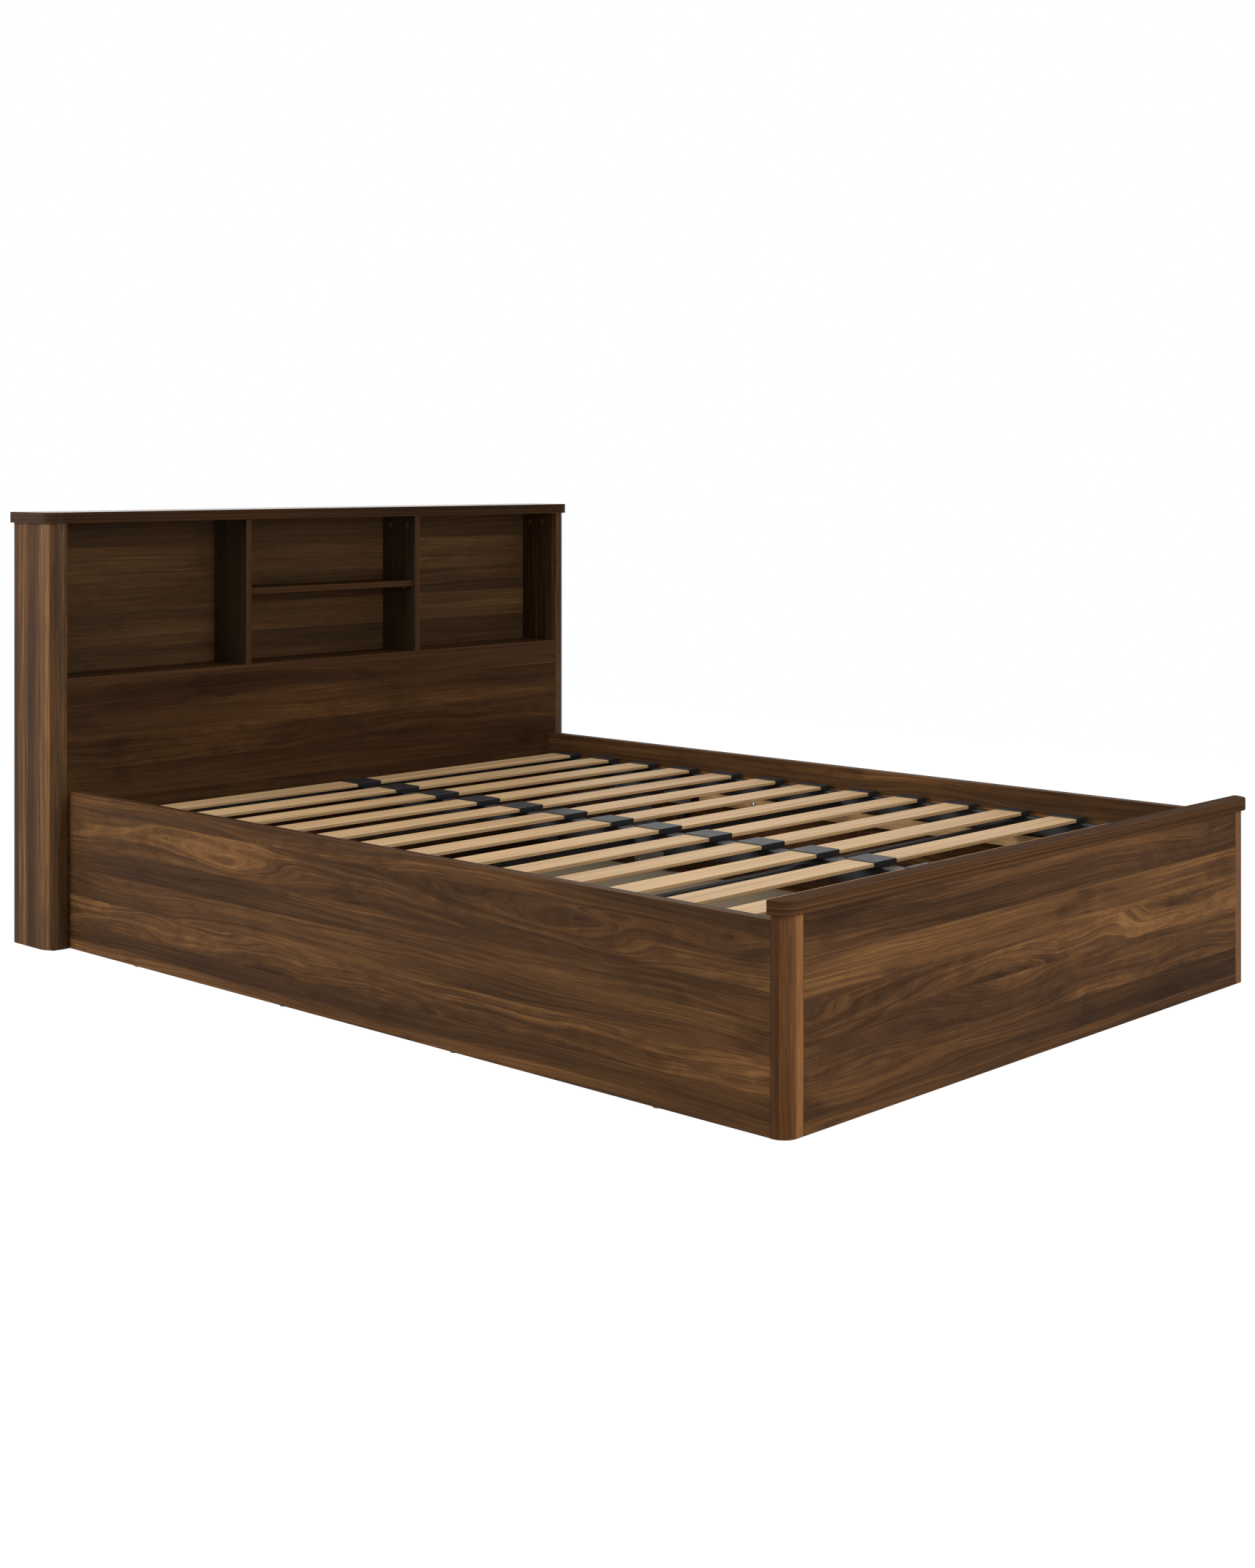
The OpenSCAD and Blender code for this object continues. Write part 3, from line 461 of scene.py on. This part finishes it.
def webbing(name, yarn):
    """Woven strap that reads the piece's own UV map, in metres along and across."""
    r = Recipe(name)
    u, v, _ = r.parts("UV")
    rib = r.sum("SINE", r.times(u, 2 * math.pi / RIB))
    cord = r.sum("SINE", r.times(v, 2 * math.pi / CORD))
    fuzz = r.grain(u, 2200, v, 900, 0.0, 3.0, 0.65)
    value = r.plus(fuzz, 0.9, r.plus(r.times(rib, cord), 0.3, 0.5))
    colour = r.ramp(value, (0.1, [c * 0.5 for c in yarn]), (0.9, [c * 1.7 for c in yarn]))
    height = r.plus(fuzz, 0.4, r.plus(cord, 0.35, r.times(rib, 0.5)))
    return r.finish(colour, r.scaled(value, 0.62, 0.8), height, 0.0004, Sheen_Weight=0.3)


def twisted(name, yarn):
    """Thread with a fine twist."""
    r = Recipe(name)
    at = r.node("ShaderNodeTexCoord", {}, output="Object")
    twist = r.noise(r.node("ShaderNodeMapping", {"Vector": at, "Scale": (2500,) * 3}), 2.0)
    colour = r.ramp(r.sum("ADD", twist, 0.5), (0.2, [c * 0.6 for c in yarn]), (0.8, yarn))
    return r.finish(colour, 0.6, twist, 0.0002)


def wear(finish, *nodes):
    """Gives CAD nodes a finish."""
    for name in nodes:
        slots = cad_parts[name].data.materials
        slots.clear()
        slots.append(finish)


def sides(*names):
    """The left and right node of each name."""
    return [f"{name}_{side}" for name in names for side in ("left", "right")]


class BED_OT_walnut_boards(bpy.types.Operator):
    """Finish the walnut rails, panels, posts, cap and headboard"""

    bl_idname = "bed.walnut_boards"
    bl_label = "Walnut boards"

    def execute(self, context):
        inner = context.scene.bed_walnut.inner
        rail_low, rail_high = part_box("side_rail_left")
        foot_low, foot_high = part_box("foot_panel")
        back_low, back_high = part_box("head_back_panel")
        front_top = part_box("head_front_panel")[1]
        foot_post, head_post, head_side = (
            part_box(name)[1] for name in ("foot_post_right", "head_post_right", "head_side_right")
        )
        wear(walnut("walnut_rail_left", "y", 1.3, "x", strips=RAIL_STRIPS,
                    top=rail_low.x + rail_high.z), "side_rail_left")
        wear(walnut("walnut_rail_right", "y", 27.1, "x", strips=FOOT_STRIPS,
                    top=rail_high.z - rail_low.x), "side_rail_right")
        wear(walnut("walnut_foot_panel", "x", 5.4, "y", tone=1.01, strips=FOOT_STRIPS,
                    top=foot_low.y + foot_high.z, polish=0.6), "foot_panel")
        # Each post's brightest strip is a painted highlight; the darker right posts dim it
        for side, foot_tone, head_tone in (("left", 1.04, 1.0), ("right", 0.8, 0.86)):
            wear(walnut(f"walnut_foot_post_{side}", "z", 9.2, figure=0.0, tone=foot_tone,
                        strips=FOOT_POST_LANES_AND_HIGHLIGHT, top=foot_post.x + foot_post.y, polish=2,
                        warm=0.15), f"foot_post_{side}")
            wear(walnut(f"walnut_head_post_{side}", "z", 12.6, figure=0.0, tone=head_tone,
                        strips=HEAD_POST_LANES_AND_HIGHLIGHT, top=head_post.x + head_post.y, polish=4,
                        contrast=1.3), f"head_post_{side}")
        wear(walnut("walnut_foot_cap", "x", 15.8, "z", 0.1, 0.7, polish=0.3, warm=0.08, edge=1.1),
             "foot_cap")
        wear(walnut("walnut_head_side", "z", 18.9, figure=0.12, strips=HEAD_SIDE_STRIPS,
                    top=head_side.x + head_side.y, polish=1.5, shade_inside_face=True, contrast=1.6),
             *sides("head_side"))
        wear(walnut("walnut_head_top", "x", 21.7, "z", 0.12, 0.68, polish=1.5, warm=0.03,
                    smooth=0.3), "head_top_board")
        # Painted shade: boards in the compartments take the darker inside tone, undone on the back
        # panel
        wear(walnut("walnut_back", "x", 33.3, "y", 0.5, 1.42 * inner, BACK_STRIPS,
                    back_low.y + back_high.z, warm=-0.1, contrast=0.65), "head_back_panel")
        wear(walnut("walnut_front", "x", 36.1, "y", 0.9, inner, BACK_STRIPS,
                    front_top.y + front_top.z, contrast=0.75), "head_front_panel")
        wear(walnut("walnut_shelf", "x", 41.9, "z", 0.3, inner, edge=1.1), "head_mid_shelf",
             "head_compartment_floor", "head_bottom_board")
        wear(walnut("walnut_divider", "z", 47.2, "x", 0.3, 1.1 * inner, warm=-0.25, edge=1.15,
                    contrast=0.5), *sides("head_divider"), "head_stiffeners")
        return {"FINISHED"}


class BED_OT_timber_parts(bpy.types.Operator):
    """Finish the battens, slats and storage floor"""

    bl_idname = "bed.timber_parts"
    bl_label = "Timber parts"

    def execute(self, context):
        t = context.scene.bed_timber
        wear(timber("pine_along", "y", t.pine, t.pine_ring, 2.1), *sides("side_ledger"),
             "centre_floor_beam", "floor_cleats")
        wear(timber("pine_across", "x", t.pine, t.pine_ring, 6.1), "foot_ledger")
        wear(timber("birch_left", "x", t.birch, t.birch_ring, 11.4, True), "slats_left")
        wear(timber("birch_right", "x", t.birch, t.birch_ring, 13.9, True), "slats_right")
        wear(speckled("storage_floor_board", t.board, 0.0016, 0.06, 0.6, 0.0001), "floor_panels")
        return {"FINISHED"}


class BED_OT_metal_parts(bpy.types.Operator):
    """Finish the steel, plastic and rubber parts"""

    bl_idname = "bed.metal_parts"
    bl_label = "Metal and plastic parts"

    def execute(self, context):
        m = context.scene.bed_metal
        wear(speckled("powder_coat", m.powder, 0.0009, 0.25, 0.5, 0.00012),
             *sides("deck_side_tube"), "deck_head_tube", "deck_foot_tube", "deck_centre_tube",
             "deck_cross_bars", "mattress_stops")
        wear(speckled("zinc_plate", m.zinc, 0.004, 0.12, 0.34, 0.00004, Metallic=1.0),
             *sides("lift_plate", "lift_arm", "pivot_pin", "strut_stud"), "lift_plate_bolts",
             "shelf_pins", "cam_locks", "corner_brackets", "bracket_screws", "ledger_screws",
             "strap_screws")
        wear(speckled("strut_paint", m.paint, 0.0012, 0.2, 0.36, 0.00004), *sides("strut_cylinder"))
        wear(speckled("strut_chrome", m.chrome, 0.01, 0.05, 0.14, 0.00001, Metallic=1.0),
             *sides("strut_rod"))
        wear(speckled("black_plastic", m.plastic, 0.0006, 0.2, 0.5, 0.00008), "slat_holders",
             "tube_end_plugs", "glide_feet")
        wear(speckled("brown_plastic", m.cover, 0.0006, 0.15, 0.45, 0.00005), "cam_covers")
        wear(speckled("rubber", m.rubber, 0.0008, 0.2, 0.75, 0.00012), "rest_bumpers")
        return {"FINISHED"}


def settle(piece, body):
    """Puts a piece's place into its mesh, smooths its curved faces and lets it ride on a body."""
    bpy.ops.object.select_all(action="DESELECT")
    piece.select_set(True)
    bpy.context.view_layer.objects.active = piece
    bpy.ops.object.transform_apply(location=True, rotation=True, scale=True)
    bpy.ops.object.shade_smooth_by_angle(angle=math.radians(35))
    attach(piece, body)


def added(name):
    """The primitive that was just added, renamed."""
    piece = bpy.context.object
    piece.name = piece.data.name = name
    return piece


def modified(piece, kind, **settings):
    """Adds a modifier and applies it."""
    modifier = piece.modifiers.new(kind.lower(), kind)
    for key, value in settings.items():
        setattr(modifier, key, value)
    bpy.context.view_layer.objects.active = piece
    bpy.ops.object.modifier_apply(modifier=modifier.name)


def joined(name, pieces):
    """Several pieces as one."""
    bpy.ops.object.select_all(action="DESELECT")
    for piece in pieces:
        piece.select_set(True)
    bpy.context.view_layer.objects.active = pieces[0]
    bpy.ops.object.join()
    return added(name)


class BED_OT_lifting_strap(bpy.types.Operator):
    """Model the sewn webbing loop on the foot tube of the deck"""

    bl_idname = "bed.lifting_strap"
    bl_label = "Lifting strap"

    def execute(self, context):
        s = context.scene.bed_strap
        low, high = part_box("pull_strap")
        corner_share, corner_steps, crown_gap = 0.62, 15, 0.001
        rows, columns, edge_round = 180, 10, 0.0007
        pucker_height, pucker_wave, pucker_reach = 0.00035, 0.0042, 0.22

        # Middle line of the loop, up one leg, round two corners and down the other
        half = (high.x - low.x - s.width) / 2
        bend = half * corner_share
        crown = high.z - s.width / 2 - crown_gap
        path = [Vector((-half, low.z))]
        path += [
            Vector((-half + bend - bend * math.cos(a), crown - bend + bend * math.sin(a)))
            for a in (math.radians(90 * i / corner_steps) for i in range(corner_steps + 1))
        ]
        path += [Vector((-p.x, p.y)) for p in reversed(path)]
        spans = [0.0]
        for p, q in zip(path, path[1:]):
            spans.append(spans[-1] + (q - p).length)
        total = spans[-1]

        bpy.ops.object.select_all(action="DESELECT")
        bpy.ops.mesh.primitive_grid_add(x_subdivisions=rows, y_subdivisions=columns, size=1)
        strap = added("lifting_strap")
        y_mid = (low.y + high.y) / 2
        for vertex in strap.data.vertices:
            u, v = vertex.co.x + 0.5, vertex.co.y
            d = u * total
            i = max(k for k in range(len(path) - 1) if spans[k] <= d + 1e-9)
            p, q = path[i], path[i + 1]
            way = (q - p).normalized()
            side = Vector((-way.y, way.x))
            p = p.lerp(q, (d - spans[i]) / (spans[i + 1] - spans[i]))
            curved = math.exp(-(((u - 0.5) / pucker_reach) ** 4))
            pucker = pucker_height * curved * (0.5 - v) * math.sin(d / pucker_wave)
            edge = p + side * v * s.width
            vertex.co = (edge.x, y_mid + pucker, edge.y)
        for loop, uv in zip(strap.data.loops, strap.data.uv_layers[0].data):
            uv.uv = (uv.uv[0] * total, uv.uv[1] * s.width)
        modified(strap, "SOLIDIFY", thickness=s.thickness, offset=0)
        modified(strap, "BEVEL", width=edge_round, segments=3, limit_method="ANGLE")
        strap.data.materials.append(webbing("strap_webbing", s.weave))
        settle(strap, "deck")
        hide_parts("pull_strap")

        # A sewn patch on each leg, with two rows of stitches across it and one up each side
        thread_width, stitch_fill, stitch_lift, hem = 0.0007, 0.82, 0.00005, 0.003
        patch_middle, patch_half, patch_shape = 0.020, 0.015, 1.6
        stitches = []
        front = low.y - stitch_lift
        inset = s.width / 2 - hem
        count = int(2 * inset / s.stitch)
        for leg in (-1, 1):
            for k in range(count + 1):
                t = -inset + 2 * inset * k / count
                for x, z, turn in (
                    (t, -patch_half, 0), (t, patch_half, 0),
                    (-inset, t * patch_shape, 90), (inset, t * patch_shape, 90)
                ):
                    bpy.ops.mesh.primitive_uv_sphere_add(
                        segments=6, ring_count=4, radius=0.5,
                        location=(leg * half + x, front, low.z + patch_middle + z),
                        rotation=(0, math.radians(turn), 0),
                        scale=(s.stitch * stitch_fill, thread_width, thread_width)
                    )
                    stitches.append(bpy.context.object)
        sewn = joined("strap_stitches", stitches)
        sewn.data.materials.append(twisted("strap_thread", s.thread))
        settle(sewn, "deck")
        return {"FINISHED"}


class BED_OT_frame_welds(bpy.types.Operator):
    """Model the weld beads where the tubes of the deck meet"""

    bl_idname = "bed.frame_welds"
    bl_label = "Weld beads"

    def execute(self, context):
        s = context.scene.bed_weld
        # Beads end clear of a tube's edges, and a cross bar has one on each side at both ends
        gap, half_bar, bar_places = 0.003, 0.0125, (0.25, 0.5, 0.75)
        side_low, side_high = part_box("deck_side_tube_left")
        mid_low, mid_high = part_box("deck_centre_tube")
        bars_low, bars_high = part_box("deck_cross_bars")
        foot_y, head_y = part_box("deck_foot_tube")[1].y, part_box("deck_head_tube")[0].y
        places = []
        for sign in (-1, 1):
            for y in (foot_y, head_y):
                places.append((-sign * side_high.x, y, side_low.z, side_high.z))
                places.append((sign * mid_high.x, y, mid_low.z, mid_high.z))
        for part in bar_places:
            y = side_low.y + part * (side_high.y - side_low.y)
            for sign in (-1, 1):
                for x in (-side_high.x, mid_high.x):
                    for edge in (-half_bar, half_bar):
                        places.append((sign * x, y + edge, bars_low.z, bars_high.z))
        beads = []
        for x, y, low, high in places:
            bpy.ops.mesh.primitive_uv_sphere_add(
                segments=10, ring_count=6, radius=s.radius,
                location=(x, y, low + gap + s.ripple / 2)
            )
            beads.append(bpy.context.object)
            modified(beads[-1], "ARRAY", count=int((high - low - 2 * gap) / s.ripple),
                     use_relative_offset=False, use_constant_offset=True,
                     constant_offset_displace=(0, 0, s.ripple))
        welds = joined("frame_welds", beads)
        powder = context.scene.bed_metal.powder
        welds.data.materials.append(speckled("weld_coat", powder, 0.0009, 0.25, 0.45, 0.0001))
        settle(welds, "deck")
        return {"FINISHED"}


def area_light(name, place, target, size, power):
    """A soft light that looks at a target."""
    turn = (Vector(target) - Vector(place)).to_track_quat("-Z", "Y").to_euler()
    bpy.ops.object.light_add(type="AREA", location=place, rotation=turn)
    light = bpy.context.object
    light.name = name
    light.data.shape = "RECTANGLE"
    light.data.size, light.data.size_y = size
    light.data.energy = power


def between(tree, factor, low, high):
    """A node that goes from low to high as the factor goes from 0 to 1."""
    made = tree.nodes.new("ShaderNodeMapRange")
    tree.links.new(factor, made.inputs[0])
    for socket, value in ((made.inputs[3], low), (made.inputs[4], high)):
        if isinstance(value, bpy.types.NodeSocket):
            tree.links.new(value, socket)
        else:
            socket.default_value = value
    return made


def pale_floor():
    """Matt floor that glows white in part for the camera and for a gloss, and keeps the shadow."""
    glow_part, glow_strength, grey = 0.7, 1.36, 0.5
    material = bpy.data.materials.new("floor_white")
    material.use_nodes = True
    tree = material.node_tree
    nodes, links = tree.nodes, tree.links
    nodes.clear()
    out = nodes.new("ShaderNodeOutputMaterial")
    mixed = nodes.new("ShaderNodeMixShader")
    matt = nodes.new("ShaderNodeBsdfDiffuse")
    glow = nodes.new("ShaderNodeEmission")
    path = nodes.new("ShaderNodeLightPath")
    seen = nodes.new("ShaderNodeMath")
    seen.operation = "MAXIMUM"
    matt.inputs[0].default_value = (grey, grey, grey, 1)
    glow.inputs[0].default_value = (1, 1, 1, 1)
    links.new(path.outputs["Is Camera Ray"], seen.inputs[0])
    links.new(path.outputs["Is Glossy Ray"], seen.inputs[1])
    part = between(tree, seen.outputs[0], 0.0, glow_part)
    level = between(tree, path.outputs["Is Camera Ray"], 1.0, glow_strength)
    links.new(level.outputs[0], glow.inputs["Strength"])
    links.new(part.outputs[0], mixed.inputs[0])
    links.new(matt.outputs[0], mixed.inputs[1])
    links.new(glow.outputs[0], mixed.inputs[2])
    links.new(mixed.outputs[0], out.inputs[0])
    return material


def studio_world(ambient):
    """Plain light from all around. The camera sees white. A gloss sees the white wall behind the
    bed and the dim room in front of it."""
    dim, room_start, wall_start = 0.12, -0.3, 0.5
    world = bpy.data.worlds.new("studio")
    bpy.context.scene.world = world
    world.use_nodes = True
    tree = world.node_tree
    nodes, links = tree.nodes, tree.links
    nodes.clear()
    out = nodes.new("ShaderNodeOutputWorld")
    back = nodes.new("ShaderNodeBackground")
    path = nodes.new("ShaderNodeLightPath")
    way = nodes.new("ShaderNodeSeparateXYZ")
    links.new(nodes.new("ShaderNodeTexCoord").outputs["Generated"], way.inputs[0])
    room = between(tree, way.outputs[1], dim, 1.0)
    room.inputs[1].default_value, room.inputs[2].default_value = room_start, wall_start
    gloss = between(tree, path.outputs["Is Glossy Ray"], ambient, room.outputs[0])
    level = between(tree, path.outputs["Is Camera Ray"], gloss.outputs[0], 1.0)
    back.inputs[0].default_value = (1, 1, 1, 1)
    links.new(level.outputs[0], back.inputs["Strength"])
    links.new(back.outputs[0], out.inputs[0])


class BED_OT_studio(bpy.types.Operator):
    """Set up the camera, the lights and the floor"""

    bl_idname = "bed.studio"
    bl_label = "Studio"

    def execute(self, context):
        s = context.scene.bed_studio
        context.scene.view_settings.view_transform = "Standard"
        bpy.ops.object.select_all(action="DESELECT")
        bpy.ops.object.camera_add(location=s.place, rotation=(math.radians(90), 0, -s.turn))
        camera = context.object
        camera.name = "camera"
        camera.data.sensor_width = 36
        camera.data.lens = s.lens
        camera.data.shift_x, camera.data.shift_y = s.shift_x, s.shift_y
        camera.data.clip_end = 100
        context.scene.camera = camera

        area_light("side_light", (-4.4, 1.7, 2.0), (-0.4, 0.1, 0.3), (3.0, 2.2), s.key)
        area_light("foot_light", (-0.2, -3.0, 1.1), (-0.1, -1.0, 0.3), (1.2, 1.9), s.front)
        area_light("top_light", (0.3, 0.2, 4.2), (0.0, 0.0, 0.0), (3.2, 3.2), s.top)

        bpy.ops.mesh.primitive_plane_add(size=8, location=(0, 0, -0.0005))
        floor = added("studio_floor")
        floor.data.materials.append(pale_floor())
        studio_world(s.ambient)
        return {"FINISHED"}


class BED_PT_parts(bpy.types.Panel):
    """Lists the steps that finish the bed frame"""

    bl_label = "Storage bed frame"
    bl_space_type = "VIEW_3D"
    bl_region_type = "UI"
    bl_category = "Bed"

    def draw(self, context):
        for step in STEPS:
            self.layout.operator(step.bl_idname)
        for name, group in SETTINGS.items():
            box = self.layout.box()
            box.label(text=group.__doc__)
            for key in group.__annotations__:
                box.prop(getattr(context.scene, name), key)


STEPS = (
    BED_OT_studio,
    BED_OT_walnut_boards,
    BED_OT_timber_parts,
    BED_OT_metal_parts,
    BED_OT_lifting_strap,
    BED_OT_frame_welds,
)


def register():
    for group in (*SETTINGS.values(), *STEPS, BED_PT_parts):
        bpy.utils.register_class(group)
    for name, group in SETTINGS.items():
        setattr(bpy.types.Scene, name, PointerProperty(type=group))


def unregister():
    for name in SETTINGS:
        delattr(bpy.types.Scene, name)
    for group in reversed((*SETTINGS.values(), *STEPS, BED_PT_parts)):
        bpy.utils.unregister_class(group)


def main():
    register()
    for step in STEPS:
        area, operator = step.bl_idname.split(".")
        getattr(getattr(bpy.ops, area), operator)()


if __name__ == "__main__":
    main()
